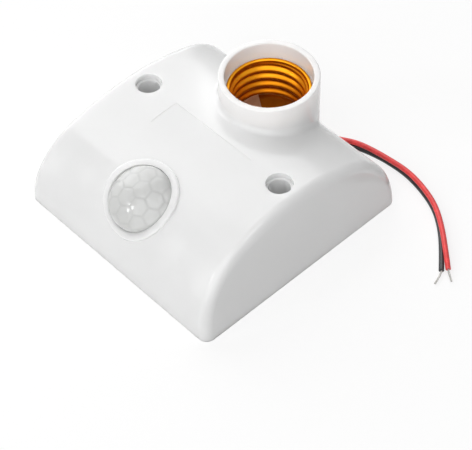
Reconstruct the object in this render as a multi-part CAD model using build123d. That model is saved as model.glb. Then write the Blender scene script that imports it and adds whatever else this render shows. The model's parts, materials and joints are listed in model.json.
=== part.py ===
"""Motion sensor lamp holder: an arched cover with a screw-lamp socket, a domed lens and two supply leads.

The holder lies on its back. X runs along the barrel of the arch, Y from the lens to the socket.
Z points away from the wall. The origin is the middle of the back face. All sizes are in millimetres.
"""
from build123d import *
import math
import os

os.makedirs("parts", exist_ok=True)

# Cover
cover_width = 90.2
cover_depth = 89.6
cover_height = 32.4
skirt_height = 2.0
crown_rise = 2.9
end_lean = 7.7
edge_radius = 3.5
wall = 2.0

# Lamp socket: the collar that stands out of the cover, and the cup that goes down inside it
socket_inset = 0.15
collar_wall = 2.2
collar_gap = 0.5
collar_rise = 8.5
rim_round = 0.4
collar_fillet = 2.0
cup_wall = 2.0
cup_gap = 0.3
cup_floor_top = 10.5
cup_floor = 2.0

# Threaded brass shell
shell_radius = 13.7
shell_wall = 0.35
rim_depth = 6.0
lip_width = 0.95
lip_height = 0.9
skirt_top = 20.6
skirt_step = 0.2
tab_width = 8.0
tab_reach = 7.0
side_foot_width = 7.0

# Contacts and rivets
contact_strip = 0.4
strip_width = 7.0
strip_rise = 2.3
strip_foot = 6.5
strip_rivet_inset = 5.2
strip_rivet_back = 3.5
strip_tip_y = 3.2
strip_slope_y = 2.0
strip_bend = 0.8
button_travel = 1.5
button_radius = 2.2
button_height = 0.9
button_shank = 1.0
button_tail = 0.4
button_tail_radius = 1.6
side_gap = 1.7
side_height = 9.7
side_top_angle = 25.0
side_foot_angle = 33.0
rivet_radius = 1.3
rivet_head_radius = 2.3
rivet_head = 0.6
rivet_tail = 0.7
rivet_inset = 3.0
fit_gap = 0.05

# Mounting holes
screw_spacing = 64.0
screw_line = 1.0
screw_bore = 3.75
screw_recess = 4.6
screw_recess_depth = 2.2
screw_post = 5.6
mount_hole = 2.3

# Base plate and its screws
plate_thickness = 2.0
plate_gap = 0.25
plate_corner = 2.0
corner_inset_x = 8.6
corner_inset_y = 7.8
corner_post = 3.2
corner_pilot = 1.2
corner_pilot_depth = 9.0
plate_hole = 1.6
plate_screw_head = 2.8
plate_screw_length = 9.0
thread_gap = 0.04

# Lens, on an axis that leaves the cover at lens_inset from its front
lens_inset = 12.9
lens_tilt = 27.7
bezel_radius = 14.0
bezel_rise = 1.0
bezel_round = 0.6
lens_opening = 11.6
lens_gap = 0.3
lens_apex = 4.0
lens_crown = 16.0
lens_corner = 4.5
lens_wall = 0.6
lens_flange = 13.0
lens_flange_depth = 7.5
lens_flange_thickness = 1.0
lens_glue_lip = 0.5
sleeve_radius = 14.6

# Plain panel on the crown
panel_length = 37.0
panel_width = 11.9
panel_y = -4.4
panel_depth = 0.2
panel_corner = 0.8

# Circuit board
board_bottom = 6.0
board_thickness = 1.6
board_half_width = 25.8
board_front_gap = 6.8
board_back_gap = 3.3
board_corner = 1.5
board_post_inset_x = 3.8
board_post_inset_front = 3.5
board_post_inset_back = 4.0
board_post = 2.6
board_pilot = 0.9
board_pilot_depth = 7.0
board_screw_length = 6.0
board_screw_head = 1.9
board_screw_head_height = 1.3
board_hole = 1.2

# Parts on the board: places are measured from its middle, and from its front or back edge
pin = 0.3
sensor_stand = 4.9
sensor_can = 4.1
sensor_base = 4.6
sensor_base_thickness = 0.6
sensor_height = 4.2
sensor_edge = 0.5
sensor_window = (4.0, 3.0, 0.4)
sensor_legs = ((-1.8, -1.8), (1.8, -1.8), (1.8, 1.8))
sensor_leg_straight = 1.6
film_capacitor_size = (18.0, 8.5, 14.5)
film_capacitor_from_back = (-9.0, 4.8)
box_round = 0.8
electrolytics_from_back = ((13.5, 6.2, 5.0, 14.0), (4.5, 4.5, 3.2, 11.0))
can_groove = (2.0, 0.8, 0.3)
can_round = 0.6
chip_size = (19.5, 6.4, 3.4)
chip_from_front = (-14.6, 11.0)
chip_pitch = 2.54
chip_pins = 8
chip_lift = 0.6
chip_edge = 0.4
chip_pin = (0.5, 0.3)
chip_shoulder = (1.2, 0.7)
triac_from_front = (19.0, 18.0)
triac_size = (7.8, 2.6, 11.0)
triac_edge = 0.8
triac_hole = 1.3
triac_hole_down = 2.6
triac_lift = 2.5
triac_leg = (0.8, 0.5)
triac_pitch = 2.3
diode_radius = 1.35
diode_length = 5.0
diode_span = 10.0
diodes_from_front = ((-18.6, 17.1), (-18.6, 20.0), (-7.4, 17.1), (-7.4, 20.0))
resistor_radius = 1.15
resistor_length = 6.3
resistor_span = 10.0
resistors_from_front = ((5.5, 8.0), (9.0, 8.0), (12.5, 8.0), (16.0, 8.0))
axial_lift = 0.9
leg_bend = 0.7
disc_radius = 2.4
disc_thickness = 1.8
disc_lift = 1.5
discs_from_front = ((22.0, 9.0), (22.0, 12.5), (7.0, 18.2), (12.2, 18.2))
cell_from_front = (9.5, 14.5)
cell_radius = 2.5
cell_height = 2.0
cell_round = 0.4
cell_leg = 1.3
cell_lift = 4.5

# Leads
lead_diameter = 1.9
lead_exit_x = -11.0
lead_exit_depth = 2.3
lead_twin_step = 2.0
lead_floor_gap = 0.02
lead_level = 3.5
lead_hump = 1.4
lead_notch_x = -9.8
lead_notch_width = 7.0
lead_notch_height = 5.0
plate_notch_x = -11.4
plate_notch_width = 10.4
plate_notch_depth = 9.5
solder_from_back = 3.0
solder_step = 0.6
lead_run_in = 0.8
lead_turn_back = 8.0
lead_settle_back = 4.0
black_solder_x = -6.0
black_swing = -4.2
black_settle = -2.2
red_solder_x = -2.4
red_swing = -1.0
red_settle = 1.4
lamp_lead_drop = (0.8, 2.2)
lamp_lead_reach = (0.6, 4.0)
lamp_lead_back = 3.0
lamp_lead_ends_x = (4.6, 9.0)
bare_diameter = 0.75
lamp_lead_diameter = 1.4
black_route = (
    (-11.0, 42.5, 0.97), (-8.0, 45.8, 0.97), (-3.1, 47.05, 0.97), (3.8, 47.7, 0.97), (11.4, 48.1, 0.97),
    (18.0, 52.0, 0.97), (24.6, 54.0, 0.97), (31.2, 55.1, 0.97), (40.0, 55.4, 0.97), (49.2, 53.6, 0.97),
    (57.6, 50.5, 0.97), (65.0, 45.2, 0.97), (71.5, 38.8, 0.97), (77.4, 32.1, 0.97))
red_route = (
    (-11.0, 42.5, 2.97), (-8.0, 45.8, 2.97), (-3.2, 47.15, 2.93), (3.75, 47.9, 2.91), (11.3, 48.2, 2.91),
    (17.5, 52.2, 2.91), (23.5, 53.8, 2.91), (31.0, 54.8, 2.9), (40.2, 55.5, 2.93), (49.24, 53.74, 2.97),
    (57.65, 50.6, 2.97), (65.2, 45.43, 2.95), (72.2, 39.5, 2.87), (79.0, 33.6, 1.8))
black_bare_route = ((77.4, 32.1, 0.97), (78.3, 31.08, 0.97), (79.5, 26.6, 0.6))
red_bare_route = ((79.0, 33.6, 1.8), (80.02, 32.715, 1.64), (82.8, 31.2, 0.7))

up = (Align.CENTER, Align.CENTER, Align.MIN)
down = (Align.CENTER, Align.CENTER, Align.MAX)
board_top = board_bottom + board_thickness
lip_radius = shell_radius + lip_width
collar_bore = lip_radius + collar_gap
collar_radius = collar_bore + collar_wall
cup_bore = shell_radius + cup_gap
cup_radius = cup_bore + cup_wall
side_radius = shell_radius - side_gap
rivet_reach = side_radius - rivet_inset
strip_foot_y = shell_radius - strip_rivet_inset
strip_bend_y = strip_foot_y - strip_rivet_back
socket_y = cover_depth / 2 - collar_radius - socket_inset
rim_height = cover_height + collar_rise
shell_top = rim_height - rim_depth
side_top = cup_floor_top + side_height
lens_y = lens_inset - cover_depth / 2
corner_x = cover_width / 2 - corner_inset_x
corner_y = cover_depth / 2 - corner_inset_y
board_front = board_front_gap - cover_depth / 2
board_back = socket_y - cup_radius - board_back_gap
board_post_x = board_half_width - board_post_inset_x
board_posts_y = (board_front + board_post_inset_front, board_back - board_post_inset_back)


def rod(x, y, radius, low, high):
    """An upright cylinder between two heights."""
    return Pos(x, y, low) * Cylinder(radius, high - low, align=up)


# The arch: straight skirts, a shoulder arc on each side and one crown arc, all tangent
shoulder_radius = cover_height - skirt_height - crown_rise
shoulder_y = cover_depth / 2 - shoulder_radius
shoulder_rise = cover_height - skirt_height
crown_span = shoulder_y**2 + shoulder_rise**2 - shoulder_radius**2
crown_radius = crown_span / (2 * (shoulder_rise - shoulder_radius))
crown_z = cover_height - crown_radius
join_angle = math.atan2(shoulder_y, skirt_height - crown_z)


def arch_height(y):
    """Height of the cover's outer surface over the back face."""
    side = abs(y)
    if side < crown_radius * math.sin(join_angle):
        return crown_z + math.sqrt(crown_radius**2 - side**2)
    return skirt_height + math.sqrt(shoulder_radius**2 - (side - shoulder_y) ** 2)


def arch_face(inset):
    """The arch's section, moved inwards by inset."""
    half = cover_depth / 2 - inset
    shoulder = shoulder_radius - inset

    def on_shoulder(angle, side):
        y = shoulder_y + shoulder * math.sin(angle)
        return (side * y, skirt_height + shoulder * math.cos(angle))

    def shoulder_arc(side):
        middle = on_shoulder((math.pi / 2 + join_angle) / 2, side)
        return ThreePointArc((side * half, skirt_height), middle, on_shoulder(join_angle, side))

    top = (0, cover_height - inset)
    crown = ThreePointArc(on_shoulder(join_angle, -1), top, on_shoulder(join_angle, 1))
    back = Polyline((-half, skirt_height), (-half, 0), (half, 0), (half, skirt_height))
    return make_face(Plane.YZ * (back + shoulder_arc(-1) + crown + shoulder_arc(1)))


def arch_block(inset, round_edges=0.0):
    """The arch between its leaning ends, moved inwards by inset on every side but the back."""
    bar = extrude(arch_face(inset), amount=cover_width, both=True)
    half = cover_width / 2 - inset
    tall = cover_height + shoulder_radius
    top = half - tall * math.tan(math.radians(end_lean))
    outline = Polyline((-half, 0), (half, 0), (top, tall), (-top, tall), close=True)
    block = bar & extrude(Plane.XZ * make_face(outline), amount=cover_depth, both=True)
    if round_edges:
        ends = block.faces().filter_by(lambda face: abs(face.normal_at().X) > 0.9)
        rims = [edge for face in ends for edge in face.edges() if edge.center().Z > 0.1]
        block = fillet(rims, round_edges)
    return block


def edges_on_cylinder(shape, x, y, radius, low, high):
    """The curved edges that lie on an upright cylinder, between two heights."""
    found = []
    for edge in shape.edges():
        points = [edge @ share for share in (0.1, 0.5, 0.9)]
        on_wall = all(abs(math.hypot(p.X - x, p.Y - y) - radius) < 0.01 for p in points)
        if on_wall and all(low < p.Z < high for p in points) and edge.geom_type != GeomType.LINE:
            found.append(edge)
    return found


lens_frame = Plane(
    origin=(0, lens_y, arch_height(lens_y)),
    x_dir=(1, 0, 0),
    z_dir=(0, -math.sin(math.radians(lens_tilt)), math.cos(math.radians(lens_tilt))))
sleeve_end = -lens_flange_depth - lens_flange_thickness - lens_glue_lip


def lens_rod(radius, low, high):
    """A cylinder on the lens's axis, between two heights over the cover."""
    return lens_frame * rod(0, 0, radius, low, high)


def edges_on_lens_cylinder(shape, radius, low):
    """The edges that lie on a cylinder on the lens's axis, above a height."""
    found = []
    for edge in shape.edges():
        points = [lens_frame.to_local_coords(edge @ share) for share in (0.1, 0.5, 0.9)]
        if all(abs(math.hypot(p.X, p.Y) - radius) < 0.01 and p.Z > low for p in points):
            found.append(edge)
    return found


screw_places = [(side * screw_spacing / 2, screw_line) for side in (-1, 1)]
corner_places = [(side * corner_x, end * corner_y) for side in (-1, 1) for end in (-1, 1)]
board_places = [(side * board_post_x, y) for side in (-1, 1) for y in board_posts_y]
tab_rivets = [(side * rivet_reach, socket_y) for side in (-1, 1)]
strip_rivet = (0.0, socket_y + strip_foot_y)


def outer_form():
    """The cover's outside: arch, collar with its fillet, and the raised ring round the lens."""
    form = arch_block(0, edge_radius) + rod(0, socket_y, collar_radius, 0, rim_height)
    form = fillet(edges_on_cylinder(form, 0, socket_y, collar_radius, 1, rim_height - 1), collar_fillet)
    raised = arch_block(-bezel_rise) & lens_rod(bezel_radius, -shoulder_radius / 2, shoulder_radius / 2)
    raised = fillet(edges_on_lens_cylinder(raised, bezel_radius, -shoulder_radius / 3), bezel_round)
    return form + raised


def inner_posts():
    """What stands inside the cover: socket cup, screw tubes, corner and board posts, lens sleeve."""
    tall = cover_height
    posts = rod(0, socket_y, cup_radius, cup_floor_top - cup_floor, tall)
    for x, y in screw_places:
        posts += rod(x, y, screw_post, plate_thickness, tall)
    for x, y in corner_places:
        posts += rod(x, y, corner_post, plate_thickness, tall)
    for x, y in board_places:
        posts += rod(x, y, board_post, board_top, tall)
    return posts + lens_rod(sleeve_radius, sleeve_end, shoulder_radius / 2)


def panel_cut():
    """The shallow plain panel on the crown."""
    outline = RectangleRounded(panel_length, panel_width, panel_corner)
    block = extrude(Pos(0, panel_y, cover_height / 2) * outline, amount=cover_height)
    return block & (arch_block(-bezel_rise) - arch_block(panel_depth))


def make_cover():
    """The one moulding that makes the cover, collar, cup, posts and lens ring."""
    cover = outer_form() - (arch_block(wall) - inner_posts())
    cover -= rod(0, socket_y, collar_bore, shell_top - lip_height, rim_height)
    cover -= rod(0, socket_y, cup_bore, cup_floor_top, rim_height)
    for x, y in tab_rivets + [strip_rivet]:
        cover -= rod(x, y, rivet_radius + fit_gap, 0, cup_floor_top)
    for x, y in screw_places:
        cover -= rod(x, y, screw_bore, 0, cover_height)
        cover -= rod(x, y, screw_recess, cover_height - screw_recess_depth, cover_height + 1)
    for x, y in corner_places:
        cover -= rod(x, y, corner_pilot + thread_gap, 0, plate_thickness + corner_pilot_depth)
    for x, y in board_places:
        cover -= rod(x, y, board_pilot + thread_gap, 0, board_top + board_pilot_depth)
    cover -= lens_rod(lens_opening, sleeve_end - 1, shoulder_radius / 2)
    cover -= lens_rod(lens_flange + lens_gap, sleeve_end - 1, -lens_flange_depth)
    cover -= notch(lead_notch_x, lead_notch_width, cover_depth / 2 - 2 * wall, cover_depth / 2 + 1)
    cover -= panel_cut()
    circles = cover.edges().filter_by(GeomType.CIRCLE)
    rims = [edge for edge in circles if abs(edge.center().Z - rim_height) < 0.01]
    return fillet(rims, rim_round)


def notch(x, width, front, back):
    """The round-cornered notch that the leads leave by, between two Y positions."""
    outline = RectangleRounded(width, 2 * lead_notch_height, lead_notch_height / 3)
    return Pos(x, back, 0) * extrude(Plane.XZ * outline, amount=back - front)


def make_base_plate():
    """The flat plate that closes the back, inside the cover's walls."""
    lean = plate_thickness * math.tan(math.radians(end_lean))
    half_x = cover_width / 2 - wall - plate_gap - lean
    half_y = cover_depth / 2 - wall - plate_gap
    plate = extrude(RectangleRounded(2 * half_x, 2 * half_y, plate_corner), amount=plate_thickness)
    for x, y in corner_places:
        plate -= rod(x, y, plate_hole, 0, plate_thickness)
        sink = Cone(plate_screw_head + fit_gap, plate_hole, plate_screw_head - plate_hole, align=up)
        plate -= Pos(x, y, 0) * sink
    for x, y in screw_places:
        plate -= rod(x, y, mount_hole, 0, plate_thickness)
    return plate - notch(plate_notch_x, plate_notch_width, half_y - plate_notch_depth, half_y + 1)


def make_cover_screws():
    """Four countersunk screws that hold the plate to the corner posts."""
    shank = rod(0, 0, corner_pilot, 0, plate_screw_length)
    head = Cone(plate_screw_head, corner_pilot, plate_screw_head - corner_pilot, align=up)
    screw = head + shank
    return [Pos(x, y, 0) * screw for x, y in corner_places]


def make_lens():
    """The domed lens: flange, straight skirt, round corner and flatter crown, with an even wall."""
    outer = lens_opening - lens_gap
    corner_x_centre = outer - lens_corner
    crown_w = lens_apex - lens_crown
    corner_w = crown_w + math.sqrt((lens_crown - lens_corner) ** 2 - corner_x_centre**2)
    meet = math.atan2(corner_x_centre, corner_w - crown_w)

    def shell_profile(inset):
        corner = lens_corner - inset
        crown = lens_crown - inset
        meet_point = (crown * math.sin(meet), crown_w + crown * math.cos(meet))
        half = (math.pi / 2 + meet) / 2
        middle = (corner_x_centre + corner * math.sin(half), corner_w + corner * math.cos(half))
        over = (crown * math.sin(meet / 2), crown_w + crown * math.cos(meet / 2))
        foot = -lens_flange_depth - lens_flange_thickness
        side = Line((outer - inset, foot), (outer - inset, corner_w))
        bend = ThreePointArc((outer - inset, corner_w), middle, meet_point)
        top = ThreePointArc(meet_point, over, (0, lens_apex - inset))
        close = Polyline((0, lens_apex - inset), (0, foot), (outer - inset, foot))
        return make_face(Plane.XZ * (side + bend + top + close))

    dome = revolve(shell_profile(0), Axis.Z, 360) - revolve(shell_profile(lens_wall), Axis.Z, 360)
    flange_low = -lens_flange_depth - lens_flange_thickness
    flange = rod(0, 0, lens_flange, flange_low, -lens_flange_depth)
    flange -= rod(0, 0, outer - lens_wall, flange_low, -lens_flange_depth)
    return lens_frame * (dome + flange)


def make_socket_shell():
    """The brass shell: rolled lip, wall that carries the thread, plain skirt, and two tabs on the floor."""
    inner = shell_radius - shell_wall
    outline = Polyline(
        (inner - skirt_step, cup_floor_top), (shell_radius - skirt_step, cup_floor_top),
        (shell_radius - skirt_step, skirt_top - shell_wall), (shell_radius, skirt_top - shell_wall),
        (shell_radius, shell_top - lip_height),
        (lip_radius, shell_top - lip_height), (lip_radius, shell_top - lip_height / 2),
        (lip_radius - lip_height / 2, shell_top), (inner + lip_height / 3, shell_top),
        (inner, shell_top - lip_height), (inner, skirt_top), (inner - skirt_step, skirt_top), close=True)
    shell = revolve(make_face(Plane.XZ * outline), Axis.Z, 360)
    for side in (-1, 1):
        tab_x = side * (inner - skirt_step - tab_reach / 2)
        tab = Pos(tab_x, 0, cup_floor_top) * Box(tab_reach, tab_width, shell_wall, align=up)
        shell += tab & rod(0, 0, shell_radius - skirt_step, cup_floor_top, shell_top)
        shell -= rod(side * rivet_reach, 0, rivet_radius + fit_gap, cup_floor_top - 1, cup_floor_top + 1)
    return Pos(0, socket_y, 0) * shell


def make_side_contact():
    """The tongue that stands on the shell's left tab and follows the shell's wall."""
    foot_z = cup_floor_top + shell_wall
    ring = rod(0, 0, side_radius, foot_z, side_top)
    ring -= rod(0, 0, side_radius - contact_strip, foot_z, side_top)
    reach = 2 * side_radius

    def edge_at(angle):
        turn = math.radians(180 - angle)
        return (math.cos(turn) * reach, math.sin(turn) * reach)

    low = [(0, 0), edge_at(side_foot_angle), (-reach, 0), edge_at(-side_foot_angle)]
    high = [(0, 0), edge_at(side_top_angle), (-reach, 0), edge_at(-side_top_angle)]
    low_face = Pos(0, 0, foot_z) * make_face(Polyline(*low, close=True))
    high_face = Pos(0, 0, side_top) * make_face(Polyline(*high, close=True))
    tongue = ring & loft([low_face, high_face])
    length = side_radius - contact_strip / 2 - (rivet_reach - rivet_head_radius)
    foot_x = -side_radius + contact_strip / 2 + length / 2
    foot = Pos(foot_x, 0, foot_z) * Box(length, side_foot_width, contact_strip, align=up)
    contact = tongue + (foot & rod(0, 0, side_radius, foot_z, side_top))
    contact -= rod(-rivet_reach, 0, rivet_radius + fit_gap, foot_z - 1, foot_z + 1)
    return Pos(0, socket_y, 0) * contact


strip_tip_z = cup_floor_top + strip_rise


def make_contact_spring():
    """The bent strip under the lamp's centre contact, riveted down at its foot."""
    foot_end = strip_bend_y + strip_foot
    spine = FilletPolyline(
        (foot_end, contact_strip / 2), (strip_bend_y, contact_strip / 2),
        (strip_slope_y, strip_rise + contact_strip / 2), (-strip_tip_y, strip_rise + contact_strip / 2),
        radius=strip_bend)
    flat = trace(spine, line_width=contact_strip)
    strip = extrude(Plane.YZ * flat, amount=strip_width / 2, both=True)
    strip = Pos(0, 0, cup_floor_top) * strip
    strip -= rod(0, strip_foot_y, rivet_radius + fit_gap, cup_floor_top - 1, cup_floor_top + 1)
    strip -= rod(0, 0, button_shank + fit_gap, strip_tip_z - 1, strip_tip_z + 1)
    return Pos(0, socket_y, 0) * strip


def make_contact_button():
    """The domed button in the strip's tip, which the lamp presses down."""
    low = strip_tip_z - fit_gap
    top = strip_tip_z + contact_strip + fit_gap
    dome = Pos(0, 0, top + button_height - 2 * button_radius) * Sphere(2 * button_radius)
    head = rod(0, 0, button_radius, top, top + button_height) & dome
    shank = rod(0, 0, button_shank, low, top)
    tail = rod(0, 0, button_tail_radius, low - button_tail, low)
    return Pos(0, socket_y, 0) * (head + shank + tail)


def make_socket_rivets():
    """Three rivets through the cup's floor, each as long as what it clamps."""
    rivets = []
    stacks = (shell_wall + contact_strip, shell_wall, contact_strip)
    for (x, y), stack in zip(tab_rivets + [strip_rivet], stacks):
        seat = cup_floor_top + stack
        under = cup_floor_top - cup_floor
        head = rod(0, 0, rivet_head_radius, seat, seat + rivet_head)
        head = fillet(head.edges().sort_by(Axis.Z)[-1], rivet_head / 2)
        shank = rod(0, 0, rivet_radius, under, seat)
        tail = rod(0, 0, rivet_head_radius, under - rivet_tail, under)
        rivets.append(Pos(x, y, 0) * (head + shank + tail))
    return rivets


def make_circuit_board():
    """The board, with holes for its four screws."""
    length = board_back - board_front
    outline = RectangleRounded(2 * board_half_width, length, board_corner)
    board = extrude(Pos(0, board_front + length / 2, board_bottom) * outline, amount=board_thickness)
    for x, y in board_places:
        board -= rod(x, y, board_hole, board_bottom, board_top)
    return board


def make_board_screws():
    """Four small screws that hold the board up against its posts."""
    head = rod(0, 0, board_screw_head, board_bottom - board_screw_head_height, board_bottom)
    head = fillet(head.edges().sort_by(Axis.Z)[0], board_screw_head_height / 2)
    screw = head + rod(0, 0, board_pilot, board_bottom, board_bottom + board_screw_length)
    return [Pos(x, y, 0) * screw for x, y in board_places]


def wire(points, diameter, radius):
    """A round wire along straight runs joined by arcs."""
    path = FilletPolyline(*points, radius=radius) if len(points) > 2 else Line(*points)
    return sweep((path ^ 0) * Circle(diameter / 2), path=path)


def on_board(place):
    """A place given from the middle of the board's front edge."""
    x, from_front = place
    return x, board_front + from_front


def from_board_back(x, from_back):
    """A place given from the middle of the board's back edge."""
    return x, board_back - from_back


def make_pir_sensor():
    """The metal can under the lens, square to the lens's axis, on three legs bent to the board."""
    rise = lens_frame.origin.Z - board_top - sensor_stand
    back = -rise / math.cos(math.radians(lens_tilt))
    face = back + sensor_height
    can = rod(0, 0, sensor_can, back, face)
    can = fillet(can.edges().sort_by(Axis.Z)[-1], sensor_edge)
    can += rod(0, 0, sensor_base, back, back + sensor_base_thickness)
    can -= Pos(0, 0, face) * Box(*sensor_window, align=down)
    solid = lens_frame * can
    for x, v in sensor_legs:
        start = lens_frame.from_local_coords(Vector(x, v, back))
        bend = lens_frame.from_local_coords(Vector(x, v, back - sensor_leg_straight))
        path = Polyline(start, bend, (bend.X, bend.Y, board_top))
        solid += sweep((path ^ 0) * Circle(pin), path=path, transition=Transition.RIGHT)
    return solid


def make_film_capacitor():
    """The boxed capacitor that drops the mains voltage."""
    x, y = from_board_back(*film_capacitor_from_back)
    box = Pos(x, y, board_top) * Box(*film_capacitor_size, align=up)
    return fillet(box.edges().filter_by(Axis.Z) + box.faces().sort_by(Axis.Z)[-1].edges(), box_round)


def make_electrolytics():
    """The two upright round capacitors, each with its rolled groove."""
    cans = []
    for x, from_back, radius, height in electrolytics_from_back:
        x, y = from_board_back(x, from_back)
        groove_up, groove_width, groove_depth = can_groove
        groove_z = board_top + groove_up
        can = rod(x, y, radius, board_top, board_top + height)
        groove = rod(x, y, 2 * radius, groove_z, groove_z + groove_width)
        can -= groove - rod(x, y, radius - groove_depth, groove_z, groove_z + groove_width)
        cans.append(fillet(can.edges().sort_by(Axis.Z)[-1], can_round))
    return cans


def make_control_chip():
    """The sensor's control chip, with its two rows of pins."""
    x, y = on_board(chip_from_front)
    length, width, height = chip_size
    low = board_top + chip_lift
    chip = Pos(x, y, low) * Box(length, width, height, align=up)
    chip = chamfer(chip.faces().sort_by(Axis.Z)[-1].edges(), chip_edge)
    pin_width, pin_thickness = chip_pin
    shoulder_width, shoulder_reach = chip_shoulder
    pin_top = low + height / 2
    for number in range(chip_pins):
        pin_x = x + (number - (chip_pins - 1) / 2) * chip_pitch
        for side in (-1, 1):
            shoulder = Box(shoulder_width, shoulder_reach, pin_thickness, align=down)
            leg = Box(pin_width, pin_thickness, pin_top - board_top, align=down)
            pin_y = y + side * (width / 2 + shoulder_reach / 4)
            chip += Pos(pin_x, pin_y, pin_top) * (shoulder + Pos(0, side * shoulder_reach / 2, 0) * leg)
    return chip


def make_triac():
    """The power switch: a moulded body with a hole through it, on three legs."""
    x, y = on_board(triac_from_front)
    width, depth, height = triac_size
    low = board_top + triac_lift
    body = Pos(x, y, low) * Box(width, depth, height, align=up)
    body = chamfer(body.faces().sort_by(Axis.Z)[-1].edges().sort_by(Axis.Y)[0], triac_edge)
    body -= Pos(x, y, low + height - triac_hole_down) * Rot(90, 0, 0) * Cylinder(triac_hole, 2 * depth)
    leg_width, leg_thickness = triac_leg
    for number in (-1, 0, 1):
        leg = Box(leg_width, leg_thickness, triac_lift, align=up)
        body += Pos(x + number * triac_pitch, y, board_top) * leg
    return body


def axial(x, y, radius, length, span, turn):
    """A lying two-legged part with its legs bent down to the board."""
    rise = radius + axial_lift
    body = Pos(0, 0, rise) * Rot(90, 0, 0) * Cylinder(radius, length)
    body = fillet(body.edges().filter_by(GeomType.CIRCLE), radius / 3)
    half = span / 2
    path = FilletPolyline((0, -half, 0), (0, -half, rise), (0, half, rise), (0, half, 0), radius=leg_bend)
    leg = sweep((path ^ 0) * Circle(pin), path=path)
    return Pos(x, y, board_top) * Rot(0, 0, turn) * (body + leg)


def make_diodes():
    """The four diodes of the rectifier."""
    places = [on_board(place) for place in diodes_from_front]
    return [axial(x, y, diode_radius, diode_length, diode_span, 90) for x, y in places]


def make_resistors():
    """The small resistors under the lens's sleeve."""
    places = [on_board(place) for place in resistors_from_front]
    return [axial(x, y, resistor_radius, resistor_length, resistor_span, 0) for x, y in places]


def make_disc_capacitors():
    """The small disc capacitors, standing on two legs each."""
    discs = []
    for place in discs_from_front:
        x, y = on_board(place)
        z = board_top + disc_lift + disc_radius
        disc = Pos(x, y, z) * Rot(90, 0, 0) * Cylinder(disc_radius, disc_thickness)
        disc = fillet(disc.edges().filter_by(GeomType.CIRCLE), disc_thickness / 3)
        for side in (-1, 1):
            disc += rod(x + side * disc_radius / 2, y, pin, board_top, z)
        discs.append(disc)
    return discs


def make_light_cell():
    """The light cell that keeps the lamp off by day, on two legs beside the sensor."""
    x, y = on_board(cell_from_front)
    low = board_top + cell_lift
    cell = rod(x, y, cell_radius, low, low + cell_height)
    cell = fillet(cell.edges().sort_by(Axis.Z)[-1], cell_round)
    for side in (-1, 1):
        cell += rod(x + side * cell_leg, y, pin, board_top, low)
    return cell


def inner_route(bottom, end_x, swing, settle, hump):
    """A lead's way inside: in line with the outer lead at the notch, over the plate and under the cup."""
    start_y = cover_depth / 2 - lead_exit_depth
    step_x, step_y = (b - a for a, b in zip(black_route[0][:2], black_route[1][:2]))
    solder_y = board_back - solder_from_back
    return (
        (lead_exit_x, start_y, bottom),
        (lead_exit_x - lead_run_in * step_x, start_y - lead_run_in * step_y, bottom),
        (lead_exit_x + swing, start_y - lead_turn_back, lead_level + hump),
        (lead_exit_x + settle, socket_y - lead_settle_back, lead_level),
        (end_x - solder_step, board_back + lead_settle_back, lead_level),
        (end_x, solder_y, lead_level),
        (end_x, solder_y, board_bottom))


def lamp_route(x, y, end_x):
    """A lead from under a rivet of the socket to the board."""
    tail_z = cup_floor_top - cup_floor - rivet_tail
    solder_y = board_back - solder_from_back
    return (
        (x, y - lamp_lead_reach[0], tail_z - lamp_lead_drop[0]),
        (x + 0.4, y - lamp_lead_reach[1], tail_z - lamp_lead_drop[1]),
        (x + 1.0, (y + board_back) / 2 + 1.0, lead_level),
        (end_x - solder_step, board_back + lamp_lead_back, lead_level),
        (end_x, solder_y, lead_level),
        (end_x, solder_y, board_bottom))


def route_radii(points, share=0.45):
    """The largest arc that each corner's two runs allow."""
    places = [Vector(*point) for point in points]
    radii = []
    for before, here, after in zip(places, places[1:], places[2:]):
        first, second = here - before, after - here
        turn = math.radians(first.get_angle(second))
        radii.append(share * min(first.length, second.length) / math.tan(turn / 2))
    return radii


def lead(name, points, diameter):
    """A lead along its route, with its length and its tightest bend printed."""
    radii = route_radii(points)
    path = FilletPolyline(*points, radius=radii)
    tube = sweep((path ^ 0) * Circle(diameter / 2), path=path)
    expected = path.length * math.pi * diameter**2 / 4
    ratio = tube.volume / expected
    print(f"{name}: length {path.length:.1f}, tightest bend {min(radii):.1f}, volume ratio {ratio:.4f}")
    return tube


def write(name, solids):
    """One file for a node: a single solid, or a group of separate ones."""
    shape = Compound(children=list(solids)) if isinstance(solids, list) else solids
    export_step(shape, f"parts/{name}.step")


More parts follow.
